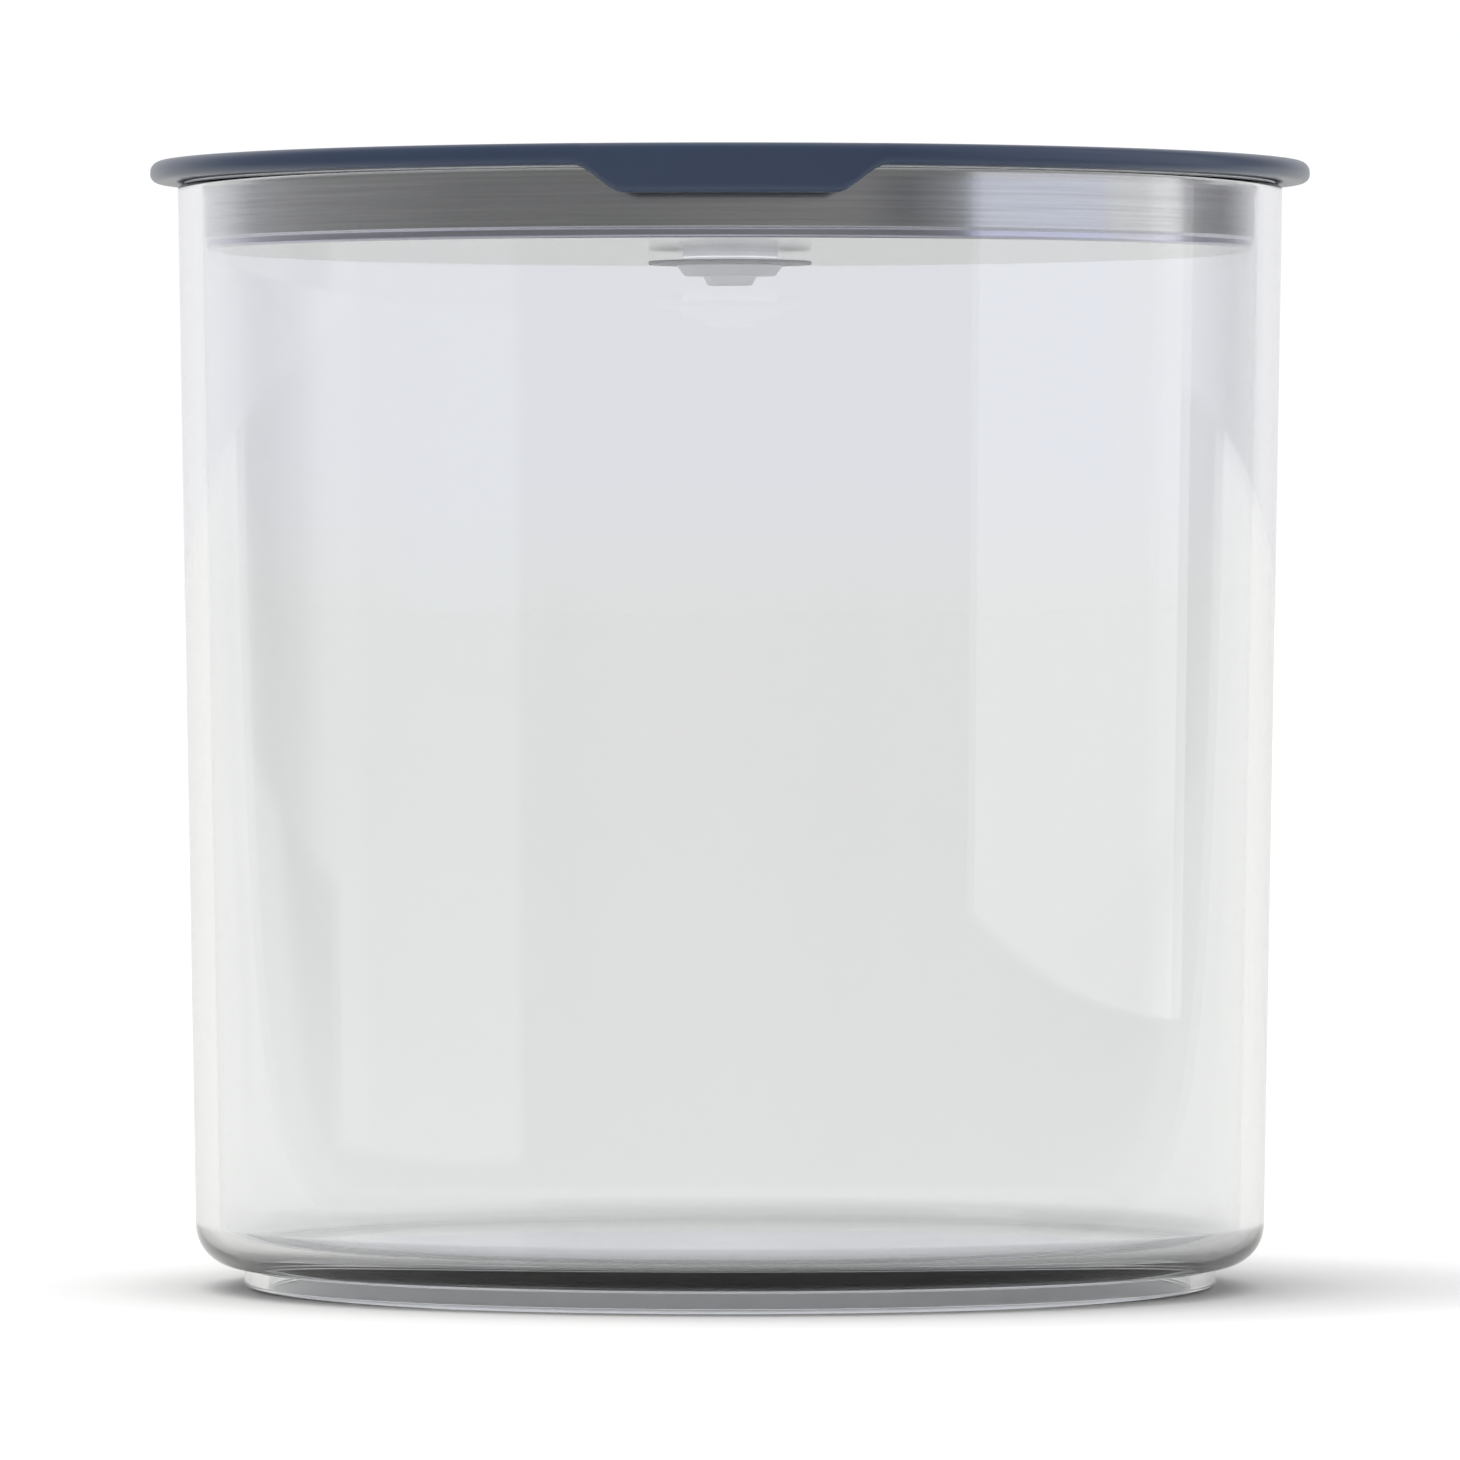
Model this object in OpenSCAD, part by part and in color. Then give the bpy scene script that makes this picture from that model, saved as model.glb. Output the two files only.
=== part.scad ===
// Round clear storage canister with a press-on lid, a pressed steel plug and a push-to-vent valve.
// Millimetres, +Z up. The origin is the centre of the foot's resting face; the finger tab faces -Y.

/* [Vessel] */
// Outer radius at the mouth
mouth_r = 75.1; // [70:0.1:80]
// Outer radius just above the rounded base corner
base_r = 72.7; // [72.5:0.1:74]
// Height of the mouth edge above the foot
mouth_z = 149.9; // [149:0.1:150.5]
// Wall thickness
wall = 3.3; // [2.5:0.1:3.5]
// Height of the inner floor above the foot
floor_z = 6.5; // [6:0.1:8]
// Radius of the outer base corner
corner_r = 5.7; // [4:0.1:6.4]
// Radius of the inner base corner
inner_corner_r = 2.5; // [2:0.5:4]
// Radius of the stacking foot
foot_r = 66.1; // [60:0.1:66.2]
// Thickness of the foot's ring
foot_t = 3.3; // [2.5:0.1:5]
// Height of the stacking foot
foot_h = 3.1; // [2:0.1:3.4]

/* [Lid cover] */
// Outer radius of the cover's rim
cover_r = 78.8; // [78:0.1:80]
// Thickness of the rim
rim_h = 2.8; // [2.8:0.1:3.6]
// Gap between the mouth edge and the underside of the rim
rim_gap = 0.3; // [0.2:0.1:0.6]
// Radius of the seat for another canister's foot
seat_r = 67.5; // [67.2:0.1:69]
// Depth of that seat
seat_depth = 1.6; // [1:0.1:1.6]
// Roundness of the rim's top edge
rim_top_r = 1.6; // [1:0.1:1.6]
// Roundness of the rim's bottom edge
rim_low_r = 1.1; // [0.5:0.1:1.1]

/* [Finger tab] */
// How far the tab hangs below the rim
tab_drop = 3.7; // [2:0.1:5]
// Width of the tab where it leaves the rim
tab_top_w = 41.8; // [34:0.1:48]
// Width of the tab's bottom edge
tab_low_w = 27.6; // [20:0.1:30]
// Thickness of the tab
tab_t = 2.8; // [2:0.1:3]

/* [Plug] */
// Outer radius of the steel liner
liner_r = 71.3; // [70.5:0.1:71.4]
// Thickness of the liner's sheet
sheet = 0.6; // [0.4:0.1:0.8]
// Height of the liner's underside above the foot's resting face
liner_z = 140.8; // [138:0.1:142]
// Height of the liner's inset bottom edge
step_h = 1.2; // [1:0.1:3]
// How far that edge is set in
step_in = 0.3; // [0.2:0.1:0.8]
// Number of ribs in the core
rib_count = 8; // [4:1:12]
// Thickness of the core's walls and ribs
rib_t = 1.4; // [1:0.1:2]

/* [Vent valve] */
// Travel of the button
travel = 2; // [1:0.1:2]
// Radius of the button
button_r = 7.1; // [6.5:0.1:8]
// Radius of the valve disc
disc_r = 11.1; // [9:0.1:13]
// Thickness of the valve disc
disc_t = 0.5; // [0.4:0.1:0.6]
// Widest radius of the valve seat and of the cap that carries the disc
seat_face_r = 7.3; // [6.8:0.1:8]
// Narrow radius of the valve seat and of the cap
seat_neck_r = 6.2; // [5.8:0.1:6.6]
// Radius of the stem
stem_r = 1.5; // [1.2:0.1:1.6]
// Wire thickness of the return spring
wire_d = 0.5; // [0.4:0.1:0.6]
// Mean radius of the return spring
coil_r = 3; // [2.9:0.1:3.2]
// Turns of the return spring
coil_turns = 6; // [4:1:7]

/* [Hidden] */
$fn = 96;

rim_z = mouth_z + rim_gap;
cover_top = rim_z + rim_h;
deck_top = cover_top - seat_depth;

// The gasket's section and how deep it sits in the cover
seal_in_r = mouth_r - 2.5;
seal_out_r = mouth_r - 1;
seal_depth = 1;

// Heights of the valve, worked up and down from the face of its seat
seat_face_z = liner_z - 1.15;
seat_neck_z = seat_face_z + 0.45;
disc_top = seat_face_z - 0.05;
disc_low = disc_top - disc_t;
cap_h = 1.5;
cap_low = disc_low - cap_h;
nut_h = 1.3;
nut_web = 0.3;
guide_r = 5;
pocket_r = 4;
guide_floor_low = liner_z + 0.4;
guide_floor_top = liner_z + 1.7;
guide_top = liner_z + 5.7;
button_top = deck_top + 0.8;
button_web = 2;
button_low = button_top - 4.6;
spring_top = button_top - button_web - 0.7;
well_r = button_r + 0.2;
ledge_top = button_low - travel - 0.1;
fit = 0.03;

// Points of an arc about [cx, cz], from angle a0 to a1
function arc(cx, cz, r, a0, a1, steps = 8) =
    [for (i = [0:steps]) let (a = a0 + (a1 - a0) * i / steps) [cx + r * cos(a), cz + r * sin(a)]];

// Outer radius of the vessel's drafted wall at height z
function wall_r(z) =
    base_r + (mouth_r - base_r) * (z - foot_h - corner_r) / (mouth_z - foot_h - corner_r);

module turned(points) {
    rotate_extrude() polygon(points);
}

module ring(r_in, r_out, z_low, z_top) {
    turned([[r_in, z_low], [r_out, z_low], [r_out, z_top], [r_in, z_top]]);
}

// The drafted vessel: stacking foot, rounded base corner, straight wall and rounded mouth edge
module canister_body() {
    lip = 0.8;
    foot_edge = 0.8;
    inner_low_r = wall_r(floor_z + inner_corner_r) - wall;
    outline = concat(
        [[0, foot_h], [foot_r - foot_t, foot_h], [foot_r - foot_t, 0]],
        arc(foot_r - foot_edge, foot_edge, foot_edge, -90, 0, 4),
        [[foot_r, foot_h]],
        arc(base_r - corner_r, foot_h + corner_r, corner_r, -90, 0, 8),
        arc(mouth_r - lip, mouth_z - lip, lip, 0, 90, 5),
        arc(mouth_r - wall + lip, mouth_z - lip, lip, 90, 180, 5),
        arc(inner_low_r - inner_corner_r, floor_z + inner_corner_r, inner_corner_r, 0, -90, 6),
        [[0, floor_z]]
    );
    color([0.87, 0.89, 0.91, 0.35]) turned(outline);
}

// Half width of the finger tab at a share of its drop, from 0 at its bottom edge to 1 at the rim
function tab_half(share) =
    (tab_low_w + (tab_top_w - tab_low_w) * (0.5 - 0.5 * cos(180 * share))) / 2;

// The tab's front outline, its flanks swept into the rim and its bottom corners eased
module tab_outline() {
    steps = 8;
    root_z = rim_z + rim_low_r;
    flank = [for (i = [0:steps]) [tab_half(i / steps), rim_z - tab_drop * (1 - i / steps)]];
    mirrored = [for (i = [steps:-1:0]) [-flank[i][0], flank[i][1]]];
    polygon(concat(flank, [[tab_top_w / 2, root_z], [-tab_top_w / 2, root_z]], mirrored));
}

// The curved wall that the tab is cut from, rounded along its bottom edge
module tab_wall() {
    low = rim_z - tab_drop;
    edge = tab_t / 2 - 0.1;
    turned(concat(
        arc(cover_r - tab_t + edge, low + edge, edge, 180, 270, 4),
        arc(cover_r - edge, low + edge, edge, 270, 360, 4),
        [[cover_r, rim_z + rim_low_r], [cover_r - tab_t, rim_z + rim_low_r]]
    ));
}

// Moulded cover: rounded rim, stacking seat, button well and finger tab in one piece
module lid_cover() {
    scoop_r = button_r + 3.4;
    groove = 0.05;
    disc_outline = concat(
        [[well_r, rim_z]],
        arc(cover_r - rim_low_r, rim_z + rim_low_r, rim_low_r, -90, 0, 5),
        arc(cover_r - rim_top_r, cover_top - rim_top_r, rim_top_r, 0, 90, 7),
        [[seat_r + 1, cover_top], [seat_r, deck_top], [scoop_r, deck_top], [well_r, deck_top - 0.6]]
    );
    color([0.16, 0.20, 0.28]) {
        difference() {
            union() {
                turned(disc_outline);
                intersection() {
                    tab_wall();
                    rotate([90, 0, 0]) linear_extrude(height = cover_r + 5) tab_outline();
                }
                turned([
                    [button_r - 0.9, ledge_top - 0.8],
                    [well_r + 1.4, ledge_top - 0.8],
                    [well_r + 1.4, rim_z + 0.5],
                    [well_r, rim_z + 0.5],
                    [well_r, ledge_top],
                    [button_r - 0.9, ledge_top],
                ]);
            }
            ring(seal_in_r - groove, seal_out_r + groove, rim_z - 1, rim_z + seal_depth);
        }
    }
}

// Translucent gasket that bears on the mouth edge, pressed into the cover's groove
module mouth_seal() {
    color([0.85, 0.87, 0.88]) ring(seal_in_r, seal_out_r, mouth_z + 0.1, rim_z + seal_depth);
}

// Ribbed moulding that fills the plug between the cover and the liner
module lid_core() {
    low = liner_z + sheet;
    hub_r = 10;
    skin_r = liner_r - sheet - step_in - 0.1;
    overlap = 0.3;
    color([0.55, 0.57, 0.60]) union() {
        turned([
            [skin_r - rib_t, low],
            [skin_r, low],
            [skin_r, rim_z],
            [skin_r - rib_t, rim_z],
        ]);
        ring(hub_r, hub_r + rib_t, low, rim_z);
        for (i = [0:rib_count - 1]) rotate([0, 0, (i + 0.5) * 360 / rib_count])
            translate([hub_r + rib_t - overlap, -rib_t / 2, low])
                cube([skin_r - 2 * rib_t - hub_r + 2 * overlap, rib_t, rim_z - low]);
    }
}

// Pressed stainless dish that lines the plug, with a shallow step above its bottom edge
module steel_liner() {
    edge = 0.4;
    low_r = liner_r - step_in;
    step_z = liner_z + step_h;
    color([0.62, 0.64, 0.66]) turned(concat(
        [[guide_r + fit, liner_z]],
        arc(low_r - edge, liner_z + edge, edge, -90, 0, 4),
        [
            [low_r, step_z],
            [liner_r, step_z + step_in],
            [liner_r, rim_z],
            [liner_r - sheet, rim_z],
            [liner_r - sheet, step_z + step_in + 0.25],
            [low_r - sheet, step_z + 0.25],
            [low_r - sheet, liner_z + sheet],
            [guide_r + fit, liner_z + sheet],
        ]
    ));
}

// Tube through the plug: valve seat below, air ports and spring pocket inside
module vent_guide() {
    port_count = 6;
    port_r = 0.6;
    color([0.86, 0.87, 0.88]) difference() {
        turned([
            [stem_r + fit, guide_floor_low],
            [pocket_r, guide_floor_low],
            [pocket_r, seat_face_z],
            [seat_face_r, seat_face_z],
            [seat_neck_r, seat_neck_z],
            [guide_r, seat_neck_z],
            [guide_r, guide_top],
            [pocket_r, guide_top],
            [pocket_r, guide_floor_top],
            [stem_r + fit, guide_floor_top],
        ]);
        for (i = [0:port_count - 1]) rotate([0, 0, i * 360 / port_count])
            translate([pocket_r - 1, 0, guide_floor_low - 1]) cylinder(r = port_r, h = 4, $fn = 24);
    }
}

// Soft washer between the guide's flare and the liner
module guide_washer() {
    color([0.90, 0.90, 0.89]) ring(guide_r + fit, seat_neck_r + 0.3, seat_neck_z, liner_z);
}

// Hexagonal nut that clamps the guide to the liner from above
module guide_nut() {
    across_flats = 14;
    color([0.86, 0.87, 0.88]) difference() {
        translate([0, 0, liner_z + sheet])
            cylinder(r = across_flats / 2 / cos(30), h = 2, $fn = 6);
        translate([0, 0, liner_z]) cylinder(r = guide_r + fit, h = 5);
    }
}

// Push button with a guiding skirt and a socket for the stem
module vent_button() {
    web_low = button_top - button_web;
    skirt_t = 1.1;
    boss_r = coil_r - wire_d / 2 - 0.2;
    color([0.20, 0.24, 0.32]) turned([
        [0, web_low + 0.8],
        [stem_r + fit, web_low + 0.8],
        [stem_r + fit, button_low + 0.6],
        [boss_r, button_low + 0.6],
        [boss_r, spring_top],
        [coil_r + 1.2, spring_top],
        [coil_r + 1.2, web_low],
        [button_r - skirt_t, web_low],
        [button_r - skirt_t, button_low],
        [button_r, button_low],
        [button_r, button_top - 0.6],
        [button_r - 0.6, button_top],
        [0, button_top],
    ]);
}

// Pin from the button down to the nut, with the collar that bears on the valve disc
module vent_stem() {
    collar_h = 0.7;
    low = cap_low - nut_h + nut_web;
    top = button_top - button_web + 0.8 - fit;
    color([0.72, 0.73, 0.75]) {
        translate([0, 0, low]) cylinder(r = stem_r, h = top - low);
        translate([0, 0, disc_top]) cylinder(r = stem_r + 0.9, h = collar_h);
    }
}

// Points of one ring of the spring's wire, at turn t
function wire_ring(t, sides, low, pitch) =
    [for (k = [0:sides - 1]) let (b = 360 * k / sides, r = coil_r + wire_d / 2 * cos(b))
        [r * cos(360 * t), r * sin(360 * t), low + pitch * t + wire_d / 2 * sin(b)]];

// Return spring between the guide's floor and the button
module vent_spring() {
    sides = 6;
    per_turn = 14;
    clear = 0.05;
    low = guide_floor_top + wire_d / 2 + clear;
    pitch = (spring_top - wire_d / 2 - clear - low) / coil_turns;
    rings = coil_turns * per_turn;
    points = [for (i = [0:rings]) each wire_ring(i / per_turn, sides, low, pitch)];
    sleeve = [for (i = [0:rings - 1], k = [0:sides - 1])
        let (a = i * sides + k, b = i * sides + (k + 1) % sides)
            each [[a, b, a + sides], [b, b + sides, a + sides]]];
    start_cap = [[for (k = [sides - 1:-1:0]) k]];
    end_cap = [[for (k = [0:sides - 1]) rings * sides + k]];
    color([0.75, 0.76, 0.78]) polyhedron(points, concat(sleeve, start_cap, end_cap));
}

// Thin flexible disc that closes the seat from below
module valve_disc() {
    color([0.72, 0.73, 0.75]) ring(stem_r + fit, disc_r, disc_low, disc_top);
}

// Tapered cap that carries the disc
module valve_cap() {
    color([0.80, 0.81, 0.82]) difference() {
        translate([0, 0, cap_low]) cylinder(r1 = seat_neck_r, r2 = seat_face_r, h = cap_h);
        translate([0, 0, cap_low - 1]) cylinder(r = stem_r + fit, h = cap_h + 2);
    }
}

// Push-on nut at the end of the stem
module stem_nut() {
    color([0.80, 0.81, 0.82]) difference() {
        translate([0, 0, cap_low - nut_h]) cylinder(r1 = 3, r2 = 3.65, h = nut_h);
        translate([0, 0, cap_low - nut_h + nut_web - fit]) cylinder(r = stem_r + fit, h = nut_h);
    }
}

canister_body();
lid_cover();
mouth_seal();
lid_core();
steel_liner();
vent_guide();
guide_washer();
guide_nut();
vent_button();
vent_stem();
vent_spring();
valve_disc();
valve_cap();
stem_nut();
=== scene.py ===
import bmesh
import bpy
import math
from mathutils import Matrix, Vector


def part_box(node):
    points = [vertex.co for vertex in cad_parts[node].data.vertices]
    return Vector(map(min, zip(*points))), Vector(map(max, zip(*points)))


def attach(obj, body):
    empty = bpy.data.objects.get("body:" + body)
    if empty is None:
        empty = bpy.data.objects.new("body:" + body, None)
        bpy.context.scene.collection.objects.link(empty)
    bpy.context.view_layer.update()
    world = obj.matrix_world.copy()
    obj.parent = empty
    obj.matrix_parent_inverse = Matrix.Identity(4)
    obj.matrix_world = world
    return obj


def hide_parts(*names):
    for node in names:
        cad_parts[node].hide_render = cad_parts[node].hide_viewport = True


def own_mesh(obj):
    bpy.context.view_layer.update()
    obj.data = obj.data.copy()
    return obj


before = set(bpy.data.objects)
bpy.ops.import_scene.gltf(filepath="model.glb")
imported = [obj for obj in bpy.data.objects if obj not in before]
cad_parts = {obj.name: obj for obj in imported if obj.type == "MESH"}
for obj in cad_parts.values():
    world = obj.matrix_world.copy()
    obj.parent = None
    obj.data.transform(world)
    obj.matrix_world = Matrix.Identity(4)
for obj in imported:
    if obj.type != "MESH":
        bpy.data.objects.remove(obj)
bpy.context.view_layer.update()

# The viewpoint: a long lens well back from the canister and a little below its lid,
# so that the underside of the lid shows and the two edges of the vessel look nearly parallel.
camera_data = bpy.data.cameras.new("long_lens")
camera_data.lens = 308
camera_data.sensor_width = 36
camera = bpy.data.objects.new("camera", camera_data)
camera.location = (0, -1.70, 0.094)
camera.rotation_euler = (math.radians(90 - 0.612), 0, 0)
bpy.context.scene.collection.objects.link(camera)
bpy.context.scene.camera = camera
bpy.context.scene.view_settings.view_transform = "Standard"


# The room: a white cyclorama that everything is seen against. What the canister mirrors is a
# working studio: grey behind the camera, dark flags beside the soft boxes, white at the back.
def wire(tree, source, target):
    tree.links.new(source, target)


def math_node(tree, operation, first, second=0.0):
    node = tree.nodes.new("ShaderNodeMath")
    node.operation = operation
    for socket, value in zip(node.inputs, (first, second)):
        if isinstance(value, (int, float)):
            socket.default_value = value
        else:
            wire(tree, value, socket)
    return node.outputs[0]


def ramp_node(tree, factor, stops, interpolation="LINEAR"):
    node = tree.nodes.new("ShaderNodeValToRGB")
    node.color_ramp.interpolation = interpolation
    elements = node.color_ramp.elements
    while len(elements) < len(stops):
        elements.new(0.5)
    for element, (place, colour) in zip(elements, stops):
        element.position = place
        element.color = (*colour, 1)
    wire(tree, factor, node.inputs["Fac"])
    return node.outputs["Color"]


def grey(value):
    return (value, value, value)


world = bpy.data.worlds.new("studio")
bpy.context.scene.world = world
world.use_nodes = True
world.cycles.sampling_method = "NONE"
room = world.node_tree
room.nodes.clear()
compass = room.nodes.new("ShaderNodeTexCoord")
heading = room.nodes.new("ShaderNodeSeparateXYZ")
wire(room, compass.outputs["Generated"], heading.inputs[0])
turn = math_node(
    room,
    "ARCTAN2",
    heading.outputs["X"],
    math_node(room, "MULTIPLY", heading.outputs["Y"], -1.0),
)
around = math_node(room, "ADD", math_node(room, "DIVIDE", turn, math.tau), 0.5)


def bearing(degrees):
    return 0.5 + degrees / 360


mirrored_room = ramp_node(
    room,
    around,
    [
        (bearing(-180), (1.00, 1.00, 1.02)),
        (bearing(-150), (0.98, 0.98, 1.00)),
        (bearing(-134), (0.90, 0.90, 0.93)),
        (bearing(-122), (0.54, 0.54, 0.56)),
        (bearing(-100), (0.40, 0.40, 0.40)),
        (bearing(-60), (0.28, 0.28, 0.28)),
        (bearing(-20), (0.265, 0.265, 0.265)),
        (bearing(18), (0.345, 0.335, 0.335)),
        (bearing(28), (0.325, 0.325, 0.325)),
        (bearing(38), (0.215, 0.215, 0.225)),
        (bearing(46), (0.34, 0.35, 0.37)),
        (bearing(99), (1.05, 1.05, 1.07)),
        (bearing(106), (1.30, 1.30, 1.31)),
        (bearing(116), (0.50, 0.50, 0.52)),
        (bearing(129), (0.34, 0.34, 0.36)),
        (bearing(150), (0.95, 0.95, 0.97)),
        (bearing(180), (1.00, 1.00, 1.02)),
    ],
)


def sent_on(tree, *depths):
    """1 for a ray that a clear or shiny surface has sent on and no matt one has scattered, otherwise 0."""
    path = tree.nodes.new("ShaderNodeLightPath")
    total = path.outputs[depths[0]]
    for depth in depths[1:]:
        total = math_node(tree, "ADD", total, path.outputs[depth])
    sent = math_node(tree, "MINIMUM", total, 1.0)
    scattered = math_node(tree, "MINIMUM", path.outputs["Diffuse Depth"], 1.0)
    return math_node(tree, "MULTIPLY", sent, math_node(tree, "SUBTRACT", 1.0, scattered))


def blend(tree, factor, first, second, mode="MIX"):
    """Mixes two colours by a factor, which is a number or another node's output."""
    node = tree.nodes.new("ShaderNodeMix")
    node.data_type = "RGBA"
    node.blend_type = mode
    if isinstance(factor, (int, float)):
        node.inputs["Factor"].default_value = factor
    else:
        wire(tree, factor, node.inputs["Factor"])
    wire(tree, first, node.inputs["A"])
    wire(tree, second, node.inputs["B"])
    return node.outputs["Result"]


steepness = 40.0
height = math_node(room, "ADD", math_node(room, "MULTIPLY", heading.outputs["Z"], steepness), 0.5)
backdrop = ramp_node(room, height, [(0.45, (1.02, 1.03, 1.01)), (0.90, (1.02, 1.03, 1.07))])
glow = room.nodes.new("ShaderNodeBackground")
wire(room, blend(room, sent_on(room, "Glossy Depth"), backdrop, mirrored_room), glow.inputs["Color"])
room_end = room.nodes.new("ShaderNodeOutputWorld")
wire(room, glow.outputs[0], room_end.inputs["Surface"])


# The floor: matt white board, laid so far out that its edge is at the horizon. Close round the foot it is
# painted greyer, a painted contact shadow. Seen through the canister or mirrored in it, it is painted a
# greyer shade, lighter again right under the foot, and the part in front of the canister is mirrored
# dark by a painted dark glow.
def plane(name, corners, material):
    mesh = bpy.data.meshes.new(name)
    mesh.from_pydata(corners, [], [tuple(range(len(corners)))])
    mesh.materials.append(material)
    thing = bpy.data.objects.new(name, mesh)
    bpy.context.scene.collection.objects.link(thing)
    return thing


def empty_material(name):
    material = bpy.data.materials.new(name)
    material.use_nodes = True
    material.node_tree.nodes.clear()
    return material, material.node_tree


def ends_in(tree, shader):
    end = tree.nodes.new("ShaderNodeOutputMaterial")
    wire(tree, shader, end.inputs["Surface"])


def shader_mix(tree, factor, first, second):
    node = tree.nodes.new("ShaderNodeMixShader")
    wire(tree, factor, node.inputs["Fac"])
    wire(tree, first, node.inputs[1])
    wire(tree, second, node.inputs[2])
    return node.outputs[0]


board, tree = empty_material("white_board")
place = tree.nodes.new("ShaderNodeNewGeometry")
spot = tree.nodes.new("ShaderNodeSeparateXYZ")
wire(tree, place.outputs["Position"], spot.inputs[0])
outward = tree.nodes.new("ShaderNodeVectorMath")
outward.operation = "LENGTH"
wire(tree, place.outputs["Position"], outward.inputs[0])
shares_per_metre = 5.0
near = math_node(tree, "MULTIPLY", outward.outputs["Value"], shares_per_metre)
# Painted contact shadow: the board's colour greys towards the foot.
painted_contact_shadow = ramp_node(
    tree,
    near,
    [
        (0.33, (0.60, 0.592, 0.572)),
        (0.365, (0.74, 0.730, 0.706)),
        (0.43, (0.87, 0.858, 0.830)),
        (0.56, (0.96, 0.95, 0.93)),
    ],
)
# Painted shade: seen through the canister or mirrored, the board is painted greyer, and lighter right
# under the foot.
painted_through_glass_shade = ramp_node(tree, near, [(0.300, grey(0.97)), (0.330, (0.769, 0.766, 0.727))])
matt = tree.nodes.new("ShaderNodeBsdfDiffuse")
seen_by_way_of = sent_on(tree, "Transmission Depth", "Glossy Depth")
wire(tree, blend(tree, seen_by_way_of, painted_contact_shadow, painted_through_glass_shade), matt.inputs["Color"])

side_share = 0.75
dark_from = 0.10
aside = math_node(tree, "MULTIPLY", math_node(tree, "ABSOLUTE", spot.outputs["X"]), side_share)
ahead = math_node(tree, "DIVIDE", math_node(tree, "SUBTRACT", aside, spot.outputs["Y"]), 2.0)
in_front = math_node(tree, "GREATER_THAN", ahead, dark_from)
# Painted reflection: mirrored, the board in front of the canister is painted a dark glow, darker further
# out, in place of its lit white.
mirrored_dark_glow = tree.nodes.new("ShaderNodeEmission")
painted_dark_fade = ramp_node(tree, ahead, [(dark_from, grey(0.72)), (0.35, grey(0.42)), (0.80, (0.28, 0.28, 0.27))])
wire(tree, painted_dark_fade, mirrored_dark_glow.inputs["Color"])
mirrored_front = math_node(tree, "MULTIPLY", sent_on(tree, "Glossy Depth"), in_front)
ends_in(tree, shader_mix(tree, mirrored_front, matt.outputs[0], mirrored_dark_glow.outputs[0]))
board.cycles.emission_sampling = "NONE"
reach = 60
floor_corners = [(-reach, -reach, 0), (reach, -reach, 0), (reach, reach, 0), (-reach, reach, 0)]
floor = plane("floor", floor_corners, board)


# The soft box on the right: a diffuser that stands on the floor, with a cool panel on its upper part
# and a brighter far end. It is only seen mirrored; the room and the key lamp do the lighting.
def soft_box(name, start, end, bottom, colour, strength):
    box_top = 0.9
    material, tree = empty_material(name)
    light = tree.nodes.new("ShaderNodeEmission")
    light.inputs["Color"].default_value = (*colour, 1)
    light.inputs["Strength"].default_value = strength
    clear = tree.nodes.new("ShaderNodeBsdfTransparent")
    ends_in(tree, shader_mix(tree, sent_on(tree, "Glossy Depth"), clear.outputs[0], light.outputs[0]))
    material.cycles.emission_sampling = "NONE"
    corners = [(*start, bottom), (*end, bottom), (*end, box_top), (*start, box_top)]
    box = plane(name, corners, material)


box_foot = 0.001
panel_foot = 0.098
box_join = (0.72, 0.09)
soft_box("right_soft_box", (0.76, -0.62), box_join, box_foot, (1.0, 1.0, 0.99), 1.08)
soft_box("cool_panel", (0.75, -0.61), (0.715, -0.075), panel_foot, (0.95, 0.98, 1.10), 1.05)
soft_box("bright_end", box_join, (0.71, 0.22), box_foot, (1.0, 1.0, 1.0), 1.3)


# The key lamp: one broad soft light from the upper left. The room gives the even fill, and the lamp
# itself is seen neither directly nor mirrored.
key_data = bpy.data.lights.new("key", "SUN")
key_data.energy = 1.0
key_data.angle = math.radians(50)
key = bpy.data.objects.new("key", key_data)
key.rotation_euler = (math.radians(6), math.radians(-20), 0)
key.visible_glossy = False
key.visible_camera = False
bpy.context.scene.collection.objects.link(key)


# The vessel: one injection-moulded piece of clear rigid plastic, drafted one degree so that it
# leaves the mould, with a rounded mouth edge and a stepped-in foot that stacks on a lid.
_, vessel_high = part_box("canister_body")
MM = 0.001
mouth_r = vessel_high.x
mouth_z = vessel_high.z
wall = 3.3 * MM
base_r = 72.7 * MM
corner_r = 5.7 * MM
foot_r = 66.1 * MM
foot_h = 3.1 * MM
floor_z = 6.5 * MM
foot_edge = 0.5 * MM
mouth_edge = 0.8 * MM
underside_r = base_r - 0.11 * MM
inner_floor_r = base_r - wall - 0.05 * MM


def rounded(points, radii, steps, share=0.49):
    """The closed outline through points, with each corner that has a radius turned into an arc."""
    outline = []
    count = len(points)
    for i, ((x, z), radius) in enumerate(zip(points, radii)):
        if not radius:
            outline.append((x, z))
            continue
        before, after = points[i - 1], points[(i + 1) % count]
        u = (before[0] - x, before[1] - z)
        v = (after[0] - x, after[1] - z)
        lu, lv = math.hypot(*u), math.hypot(*v)
        u, v = (u[0] / lu, u[1] / lu), (v[0] / lv, v[1] / lv)
        half = math.acos(max(-1, min(1, u[0] * v[0] + u[1] * v[1]))) / 2
        reach = min(radius / math.tan(half), share * lu, share * lv)
        radius = reach * math.tan(half)
        bisector = (u[0] + v[0], u[1] + v[1])
        length = math.hypot(*bisector)
        depth = radius / math.sin(half)
        cx, cz = x + bisector[0] / length * depth, z + bisector[1] / length * depth
        first = math.atan2(z + u[1] * reach - cz, x + u[0] * reach - cx)
        last = math.atan2(z + v[1] * reach - cz, x + v[0] * reach - cx)
        sweep = (last - first + math.pi) % math.tau - math.pi
        for step in range(steps + 1):
            a = first + sweep * step / steps
            outline.append((cx + radius * math.cos(a), cz + radius * math.sin(a)))
    return outline


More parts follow.
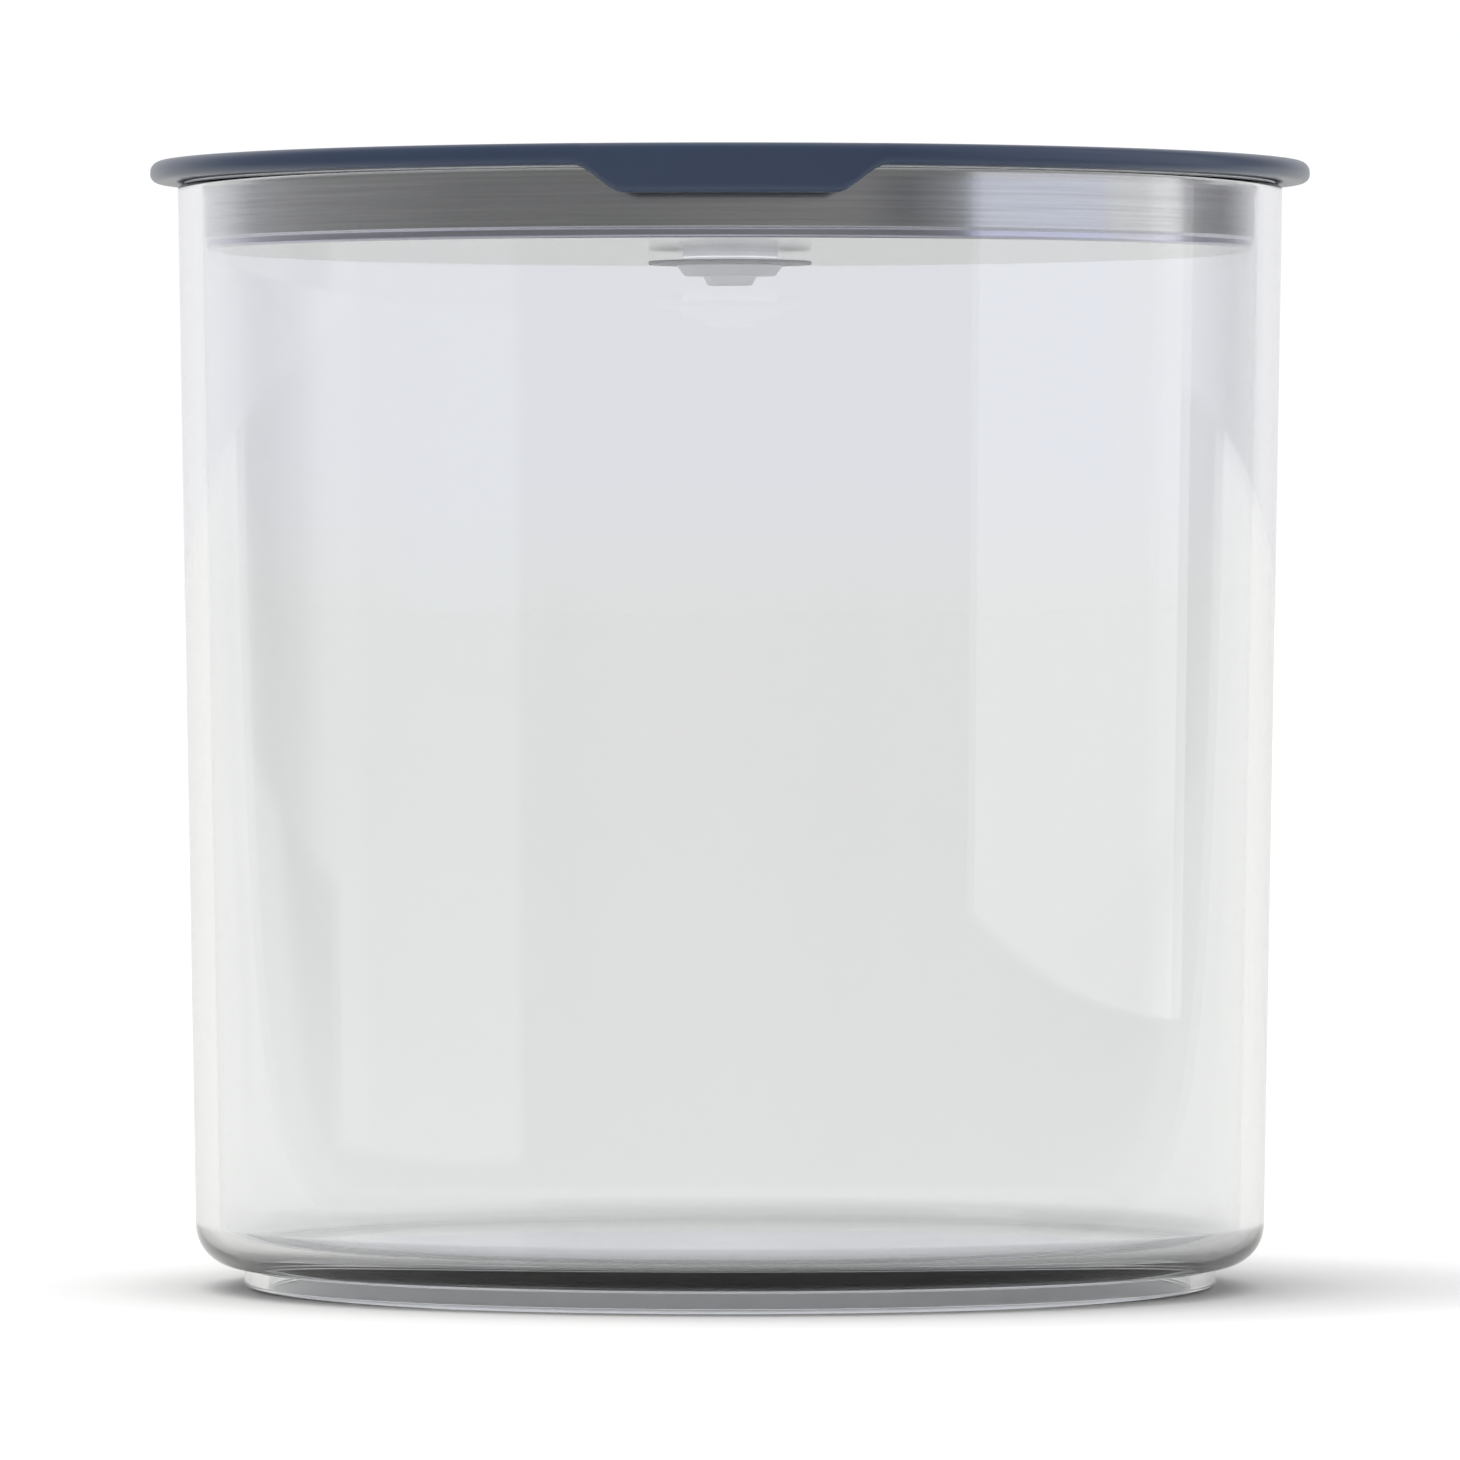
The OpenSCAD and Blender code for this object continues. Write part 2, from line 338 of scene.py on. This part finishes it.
def lathe(name, outline, segments, closed):
    """Turns an outline of (radius, height) about the Z axis. A point on the axis is one vertex."""
    work = bmesh.new()
    rings = []
    for r, z in outline:
        if r < 1e-7:
            rings.append([work.verts.new((0, 0, z))])
            continue
        rings.append([
            work.verts.new((r * math.cos(a), r * math.sin(a), z))
            for a in (math.tau * k / segments for k in range(segments))
        ])
    pairs = list(zip(rings, rings[1:]))
    if closed:
        pairs.append((rings[-1], rings[0]))
    for ring, following in pairs:
        for k in range(segments):
            n = (k + 1) % segments
            near_side = [ring[k % len(ring)], ring[n % len(ring)]]
            far_side = [following[n % len(following)], following[k % len(following)]]
            corners = list(dict.fromkeys(near_side + far_side))
            if len(corners) > 2:
                work.faces.new(corners)
    return finish_mesh(name, work)


def finish_mesh(name, work):
    bmesh.ops.recalc_face_normals(work, faces=work.faces)
    mesh = bpy.data.meshes.new(name)
    work.to_mesh(mesh)
    work.free()
    mesh.shade_smooth()
    piece = bpy.data.objects.new(name, mesh)
    bpy.context.scene.collection.objects.link(piece)
    return piece


def even_shading(piece):
    """Lets the flats keep their own normals, so that only the small edge radii shade as round."""
    weight = piece.modifiers.new("even_shading", "WEIGHTED_NORMAL")
    weight.mode = "FACE_AREA"
    weight.weight = 100


def turned(name, section, steps, segments, closed=True, share=0.49):
    """Turns a section of (radius, height, corner radius) into a finished piece."""
    points = [(r, z) for r, z, _ in section]
    outline = rounded(points, [corner for _, _, corner in section], steps, share)
    piece = lathe(name, outline, segments, closed)
    even_shading(piece)
    return piece


def dressed(piece, material, slot, body, *nodes):
    piece.data.materials.clear()
    piece.data.materials.append(material)
    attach(piece, body)
    if nodes:
        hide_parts(*nodes)


def surface(name, **sockets):
    """A material with one Principled shader. Returns it with its node tree and the shader."""
    material, tree = empty_material(name)
    shader = tree.nodes.new("ShaderNodeBsdfPrincipled")
    ends_in(tree, shader.outputs[0])
    for socket, value in sockets.items():
        shader.inputs[socket.replace("_", " ")].default_value = value
    return material, tree, shader


def grain(tree, scale, stretch=(1, 1, 1), detail=2.0):
    """A noise in the object's own metres, drawn out along an axis by a small stretch."""
    place = tree.nodes.new("ShaderNodeTexCoord")
    mapping = tree.nodes.new("ShaderNodeMapping")
    mapping.inputs["Scale"].default_value = stretch
    wire(tree, place.outputs["Object"], mapping.inputs["Vector"])
    noise = tree.nodes.new("ShaderNodeTexNoise")
    noise.inputs["Scale"].default_value = scale
    noise.inputs["Detail"].default_value = detail
    wire(tree, mapping.outputs[0], noise.inputs["Vector"])
    return noise.outputs["Fac"]


def bump(tree, shader, height, distance, strength=1.0):
    node = tree.nodes.new("ShaderNodeBump")
    node.inputs["Strength"].default_value = strength
    node.inputs["Distance"].default_value = distance
    wire(tree, height, node.inputs["Height"])
    wire(tree, node.outputs[0], shader.inputs["Normal"])


def spread(tree, factor, low, high):
    """Maps a 0 to 1 factor to the range low to high."""
    node = tree.nodes.new("ShaderNodeMapRange")
    node.inputs["To Min"].default_value = low
    node.inputs["To Max"].default_value = high
    wire(tree, factor, node.inputs["Value"])
    return node.outputs["Result"]


clear_plastic, tree, shader = surface(
    "clear_plastic",
    Base_Color=(0.888, 0.893, 0.90, 1),
    Transmission_Weight=1.0,
    IOR=1.50,
)
draw_lines = grain(tree, 60, (1, 1, 0.02), 3)
wire(tree, spread(tree, draw_lines, 0.0, 0.035), shader.inputs["Roughness"])
bump(tree, shader, draw_lines, 0.00002, 0.25)

vessel_section = [
    (0, foot_h, 0),
    (foot_r - wall, foot_h, foot_edge),
    (foot_r - wall, 0, foot_edge),
    (foot_r, 0, mouth_edge),
    (foot_r, foot_h, 0.1 * MM),
    (underside_r, foot_h, corner_r),
    (mouth_r, mouth_z, mouth_edge),
    (mouth_r - wall, mouth_z, mouth_edge),
    (inner_floor_r, floor_z, 2.5 * MM),
    (0, floor_z, 0),
]
vessel = turned("clear_vessel", vessel_section, 10, 360, closed=False, share=0.98)
dressed(vessel, clear_plastic, "clear_wall", "canister", "canister_body")


# The liner: a dish pressed from 0.6 mm stainless sheet that faces the contents. It is brushed
# round its axis, and a small step runs above its bottom edge.
liner_low, liner_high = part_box("steel_liner")
liner_r = liner_high.x
liner_z = liner_low.z
plug_top = liner_high.z
sheet = 0.6 * MM
step_h = 1.2 * MM
step_in = 0.3 * MM
hole_r = 5.03 * MM
low_r = liner_r - step_in
step_z = liner_z + step_h
chamfer_z = step_z + step_in
sheet_turn = 0.25 * MM

liner_section = [
    (hole_r, liner_z, 0),
    (low_r, liner_z, 0.45 * MM),
    (low_r, step_z, 0.3 * MM),
    (liner_r, chamfer_z, 0.3 * MM),
    (liner_r, plug_top, 0),
    (liner_r - sheet, plug_top, 0),
    (liner_r - sheet, chamfer_z + sheet_turn, 0.2 * MM),
    (low_r - sheet, step_z + sheet_turn, 0.2 * MM),
    (low_r - sheet, liner_z + sheet, 0.1 * MM),
    (hole_r, liner_z + sheet, 0),
]
liner = turned("pressed_liner", liner_section, 5, 288)


def turned_brushing(tree, lines_per_metre, detail=3.0):
    """A noise that changes with radius and height but hardly round the axis, as turning leaves it."""
    place = tree.nodes.new("ShaderNodeTexCoord")
    parts = tree.nodes.new("ShaderNodeSeparateXYZ")
    wire(tree, place.outputs["Object"], parts.inputs[0])
    x, y, z = parts.outputs
    x_squared = math_node(tree, "MULTIPLY", x, x)
    y_squared = math_node(tree, "MULTIPLY", y, y)
    radius = math_node(tree, "SQRT", math_node(tree, "ADD", x_squared, y_squared))
    angle = math_node(tree, "ARCTAN2", y, x)
    strokes = tree.nodes.new("ShaderNodeCombineXYZ")
    wire(tree, math_node(tree, "MULTIPLY", radius, lines_per_metre), strokes.inputs["X"])
    wire(tree, math_node(tree, "MULTIPLY", z, lines_per_metre), strokes.inputs["Y"])
    wire(tree, math_node(tree, "MULTIPLY", angle, 2.5), strokes.inputs["Z"])
    noise = tree.nodes.new("ShaderNodeTexNoise")
    noise.inputs["Scale"].default_value = 1.0
    noise.inputs["Detail"].default_value = detail
    wire(tree, strokes.outputs[0], noise.inputs["Vector"])
    return noise.outputs["Fac"]


brushed_steel, tree, shader = surface("brushed_steel", Metallic=1.0)
strokes = turned_brushing(tree, 2600)
sheet_tone = ramp_node(tree, strokes, [(0.3, grey(0.575)), (0.7, (0.69, 0.69, 0.70))])
where = tree.nodes.new("ShaderNodeTexCoord")
level = tree.nodes.new("ShaderNodeSeparateXYZ")
wire(tree, where.outputs["Object"], level.inputs[0])
above = math_node(tree, "SUBTRACT", level.outputs["Z"], liner_z)
# Painted light: the steel is painted lighter on its underside and bluer over the step, a painted sheen.
painted_underside_light = (1.14, 1.14, 1.17)
painted_step_sheen = (0.98, 0.98, 1.12)
painted_edge_light = ramp_node(
    tree,
    math_node(tree, "DIVIDE", above, 3 * step_h),
    [(0.02, painted_underside_light), (0.06, painted_step_sheen), (0.38, painted_step_sheen), (0.46, grey(1.0))],
)
wire(tree, blend(tree, 1.0, sheet_tone, painted_edge_light, "MULTIPLY"), shader.inputs["Base Color"])
wire(tree, spread(tree, strokes, 0.13, 0.19), shader.inputs["Roughness"])
bump(tree, shader, strokes, 0.00001, 0.08)
dressed(liner, brushed_steel, "brushed_steel_sheet", "lid", "steel_liner")


# The core: a ribbed moulding in dull grey plastic that fills the plug. It is welded to the cover,
# and the liner is pressed over it, so none of it shows while the lid is whole.
core_plastic, tree, shader = surface("core_plastic", IOR=1.5)
cloud = grain(tree, 220, (1, 1, 1), 4)
dull_grey = ramp_node(tree, cloud, [(0.3, grey(0.24)), (0.7, (0.30, 0.31, 0.33))])
wire(tree, dull_grey, shader.inputs["Base Color"])
wire(tree, spread(tree, cloud, 0.45, 0.62), shader.inputs["Roughness"])


def as_in_cad(node_name, material):
    """Shows the piece with its CAD shape, in this material."""
    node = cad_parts[node_name]
    node.data.materials.clear()
    node.data.materials.append(material)


as_in_cad("lid_core", core_plastic)


# The cover: one moulding in navy plastic with a rounded rim, a recess that takes another
# canister's foot, a well for the button, and a finger tab that hangs from the front of the rim.
_, cover_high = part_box("lid_cover")
button_low, button_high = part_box("vent_button")
cover_r = cover_high.x
cover_top = cover_high.z
rim_z = plug_top
deck_z = cover_top - 1.6 * MM
seat_r = 67.5 * MM
rim_top_edge = 1.6 * MM
rim_low_edge = 1.1 * MM
tab_drop = 3.7 * MM
tab_t = 2.8 * MM
tab_flat = 13.8 * MM
tab_root = 20.9 * MM
button_r = button_high.x
well_r = button_r + 0.2 * MM
scoop_r = button_r + 3.4 * MM
sleeve_r = well_r + 1.4 * MM
ledge_top = button_low.z - 2.1 * MM
ledge_low = ledge_top - 0.8 * MM
ledge_r = button_r - 0.9 * MM
seal_in_r = mouth_r - 2.5 * MM
seal_out_r = mouth_r - 1.0 * MM
groove_in = seal_in_r - 0.05 * MM
groove_out = seal_out_r + 0.05 * MM
groove_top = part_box("mouth_seal")[1].z
joint_overlap = 0.02 * MM


def tab_depth(x):
    """How far the rim's lower edge drops at a distance x from the tab's middle."""
    share = (tab_root - abs(x)) / (tab_root - tab_flat)
    share = max(0.0, min(1.0, share))
    return joint_overlap + tab_drop * share * share * (3 - 2 * share)


def cover_section(drop):
    section = [
        (ledge_r, ledge_top, 0),
        (well_r, ledge_top, 0),
        (well_r, deck_z - 0.6 * MM, 0.3 * MM),
        (scoop_r, deck_z, 3.0 * MM),
        (seat_r, deck_z, 0.5 * MM),
        (seat_r + 1.0 * MM, cover_top, 0.6 * MM),
        (cover_r, cover_top, rim_top_edge),
        (cover_r, rim_z - drop, rim_low_edge),
        (cover_r - tab_t, rim_z - drop, rim_low_edge),
        (cover_r - tab_t, rim_z, 0.5 * MM),
        (groove_out, rim_z, 0),
        (groove_out, groove_top, 0),
        (groove_in, groove_top, 0),
        (groove_in, rim_z, 0),
        (sleeve_r, rim_z, 0.5 * MM),
        (sleeve_r, ledge_low, 0.2 * MM),
        (ledge_r, ledge_low, 0.2 * MM),
    ]
    return rounded([(r, z) for r, z, _ in section], [corner for _, _, corner in section], 6)


def rim_bearings():
    """Angles round the rim, close together where the tab's flanks curve."""
    tab_turns = 140
    rim_turns = 220
    tab_middle = math.pi * 1.5
    half = math.asin((tab_root + 2 * MM) / cover_r)
    near_tab = [tab_middle + half * (k / (tab_turns / 2) - 1) for k in range(tab_turns)]
    rest = math.tau - 2 * half
    return near_tab + [tab_middle + half + rest * k / rim_turns for k in range(rim_turns)]


work = bmesh.new()
rings = []
for a in rim_bearings():
    in_front = math.sin(a) < 0
    section = cover_section(tab_depth(cover_r * math.cos(a)) if in_front else joint_overlap)
    rings.append([work.verts.new((r * math.cos(a), r * math.sin(a), z)) for r, z in section])
for ring, following in zip(rings, rings[1:] + rings[:1]):
    for k in range(len(ring)):
        n = (k + 1) % len(ring)
        work.faces.new((ring[k], ring[n], following[n], following[k]))
cover = finish_mesh("navy_cover", work)
even_shading(cover)

navy_plastic, tree, shader = surface("navy_plastic", IOR=1.5, Specular_IOR_Level=0.4)
spark = grain(tree, 2400, (1, 1, 1), 2)
cloud = grain(tree, 30, (1, 1, 1), 2)
wire(
    tree,
    ramp_node(tree, cloud, [(0.3, (0.024, 0.038, 0.072)), (0.7, (0.028, 0.043, 0.080))]),
    shader.inputs["Base Color"],
)
wire(tree, spread(tree, spark, 0.26, 0.36), shader.inputs["Roughness"])
bump(tree, shader, spark, 0.00002, 0.12)
dressed(cover, navy_plastic, "navy_plastic", "lid", "lid_cover")


# The mouth seal: a square-cut ring of translucent silicone pressed into the cover's groove,
# so that only its lower edge stands out and bears on the mouth's edge all round.
seal_low, seal_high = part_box("mouth_seal")
seal_edge = 0.15 * MM
seal_section = [
    (seal_in_r, seal_low.z, seal_edge),
    (seal_out_r, seal_low.z, seal_edge),
    (seal_out_r, seal_high.z, seal_edge),
    (seal_in_r, seal_high.z, seal_edge),
]
seal = turned("mouth_gasket", seal_section, 4, 288)
silicone, tree, shader = surface("silicone", IOR=1.41, Subsurface_Weight=0.4)
shader.inputs["Subsurface Radius"].default_value = (MM, MM, MM)
cloud = grain(tree, 300, (1, 1, 1), 3)
milk = ramp_node(tree, cloud, [(0.3, (0.72, 0.74, 0.76)), (0.7, (0.80, 0.82, 0.83))])
wire(tree, milk, shader.inputs["Base Color"])
wire(tree, spread(tree, cloud, 0.35, 0.5), shader.inputs["Roughness"])
dressed(seal, silicone, "translucent_silicone", "lid", "mouth_seal")


# The vent guide: a moulded tube with six air ports that goes up through the liner, with its washer
# under the sheet and its nut above. Its flared low end is the seat that the valve disc closes.
washer_low, washer_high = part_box("guide_washer")
stem_hole_r = 1.53 * MM
seat_neck_r = 6.2 * MM


def white_plastic_with_painted_glow(name, glow):
    """Pale translucent plastic. A little glow is painted light, which brightens the parts where they sit
    in shade.
    """
    material, tree, shader = surface(name, IOR=1.5, Emission_Strength=glow)
    cloud = grain(tree, 260, (1, 1, 1), 3)
    tone = ramp_node(tree, cloud, [(0.3, (0.84, 0.85, 0.87)), (0.7, (0.89, 0.90, 0.92))])
    wire(tree, tone, shader.inputs["Base Color"])
    wire(tree, tone, shader.inputs["Emission Color"])
    wire(tree, spread(tree, cloud, 0.38, 0.5), shader.inputs["Roughness"])
    bump(tree, shader, cloud, 0.00002, 0.2)
    return material


# Painted light: the guide's seat and the washer glow most, as they sit in the shade between disc and
# liner.
milky_plastic_painted_glow = white_plastic_with_painted_glow("milky_plastic_painted_glow", 0.38)
pale_plastic_painted_glow = white_plastic_with_painted_glow("pale_plastic_painted_glow", 0.10)
as_in_cad("vent_guide", milky_plastic_painted_glow)
as_in_cad("guide_nut", pale_plastic_painted_glow)

washer_edge = 0.25 * MM
washer_section = [
    (hole_r, washer_low.z, 0),
    (washer_high.x, washer_low.z, washer_edge),
    (washer_high.x, washer_high.z, washer_edge),
    (hole_r, washer_high.z, 0),
]
washer = turned("soft_washer", washer_section, 5, 96)
dressed(washer, milky_plastic_painted_glow, "translucent_silicone", "lid", "guide_washer")


# The button: moulded in the cover's navy, a shallow fingertip dish on top, a skirt that runs
# in the well and a socket underneath that the stem is pressed into.
web_low = button_high.z - 2.0 * MM
spring_seat = web_low - 0.7 * MM
socket_low = button_low.z + 0.6 * MM
socket_top = web_low + 0.8 * MM
boss_r = 2.55 * MM
spring_seat_r = 4.2 * MM
skirt_r = button_r - 1.1 * MM
button_section = [
    (0, button_high.z - 0.35 * MM, 0),
    (button_r * 0.62, button_high.z - 0.15 * MM, 3.0 * MM),
    (button_r * 0.82, button_high.z, 1.0 * MM),
    (button_r, button_high.z, 0.6 * MM),
    (button_r, button_low.z, 0.2 * MM),
    (skirt_r, button_low.z, 0.2 * MM),
    (skirt_r, web_low, 0.3 * MM),
    (spring_seat_r, web_low, 0.2 * MM),
    (spring_seat_r, spring_seat, 0.2 * MM),
    (boss_r, spring_seat, 0),
    (boss_r, socket_low, 0.2 * MM),
    (stem_hole_r, socket_low, 0.1 * MM),
    (stem_hole_r, socket_top, 0),
    (0, socket_top, 0),
]
button = turned("push_button", button_section, 5, 128, closed=False)
dressed(button, navy_plastic, "navy_plastic", "vent_valve", "vent_button")


# The stem: a drawn stainless pin with a collar, pressed into the button above and held by a
# push-on nut below. The return spring is wound from half-millimetre stainless wire round it.
steel_wire, tree, shader = surface("steel_wire", Metallic=1.0)
strokes = grain(tree, 900, (1, 1, 0.1), 2)
wire(tree, ramp_node(tree, strokes, [(0.3, grey(0.55)), (0.7, grey(0.64))]), shader.inputs["Base Color"])
wire(tree, spread(tree, strokes, 0.2, 0.32), shader.inputs["Roughness"])
as_in_cad("vent_stem", steel_wire)

spring_low, spring_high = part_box("vent_spring")
wire_r = 0.25 * MM
coil_r = 3.0 * MM
turns = 6
per_turn = 40
sides = 12
pitch = (spring_high.z - spring_low.z - 2 * wire_r) / turns
work = bmesh.new()
rings = []
for i in range(turns * per_turn + 1):
    a = math.tau * i / per_turn
    ring = []
    for k in range(sides):
        b = math.tau * k / sides
        r = coil_r + wire_r * math.cos(b)
        height = spring_low.z + wire_r + pitch * i / per_turn + wire_r * math.sin(b)
        ring.append(work.verts.new((r * math.cos(a), r * math.sin(a), height)))
    rings.append(ring)
for ring, following in zip(rings, rings[1:]):
    for k in range(sides):
        n = (k + 1) % sides
        work.faces.new((ring[k], ring[n], following[n], following[k]))
work.faces.new(rings[0])
work.faces.new(rings[-1])
spring = finish_mesh("return_spring", work)
dressed(spring, steel_wire, "steel_wire", "vent_valve", "vent_spring")
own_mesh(spring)


# The valve disc: a thin round of grey silicone, clamped between the stem's collar and a tapered
# cap, which a push-on nut with a rounded end holds from below.
disc_low, disc_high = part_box("valve_disc")
disc_edge = 0.2 * MM
disc_section = [
    (stem_hole_r, disc_low.z, 0),
    (disc_high.x, disc_low.z, disc_edge),
    (disc_high.x, disc_high.z, disc_edge),
    (stem_hole_r, disc_high.z, 0),
]
disc = turned("sealing_disc", disc_section, 4, 128)
grey_silicone, tree, shader = surface("grey_silicone", IOR=1.41)
cloud = grain(tree, 300, (1, 1, 1), 3)
rubber = ramp_node(tree, cloud, [(0.3, (0.60, 0.61, 0.62)), (0.7, (0.66, 0.67, 0.68))])
wire(tree, rubber, shader.inputs["Base Color"])
wire(tree, spread(tree, cloud, 0.4, 0.55), shader.inputs["Roughness"])
dressed(disc, grey_silicone, "grey_silicone", "vent_valve", "valve_disc")

cap_low, cap_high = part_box("valve_cap")
cap_section = [
    (stem_hole_r, cap_low.z, 0),
    (seat_neck_r, cap_low.z, 0.35 * MM),
    (cap_high.x, cap_high.z, 0.15 * MM),
    (stem_hole_r, cap_high.z, 0),
]
cap = turned("disc_cap", cap_section, 6, 128)
dressed(cap, pale_plastic_painted_glow, "light_grey_plastic", "vent_valve", "valve_cap")

nib_low, nib_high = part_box("stem_nut")
nib_web_top = nib_low.z + 0.27 * MM
nib_section = [
    (0, nib_low.z, 0),
    (3.0 * MM, nib_low.z, 0.4 * MM),
    (nib_high.x, nib_high.z, 0.1 * MM),
    (stem_hole_r, nib_high.z, 0),
    (stem_hole_r, nib_web_top, 0),
    (0, nib_web_top, 0),
]
nib = turned("push_on_nut", nib_section, 6, 96, closed=False)
dressed(nib, pale_plastic_painted_glow, "light_grey_plastic", "vent_valve", "stem_nut")
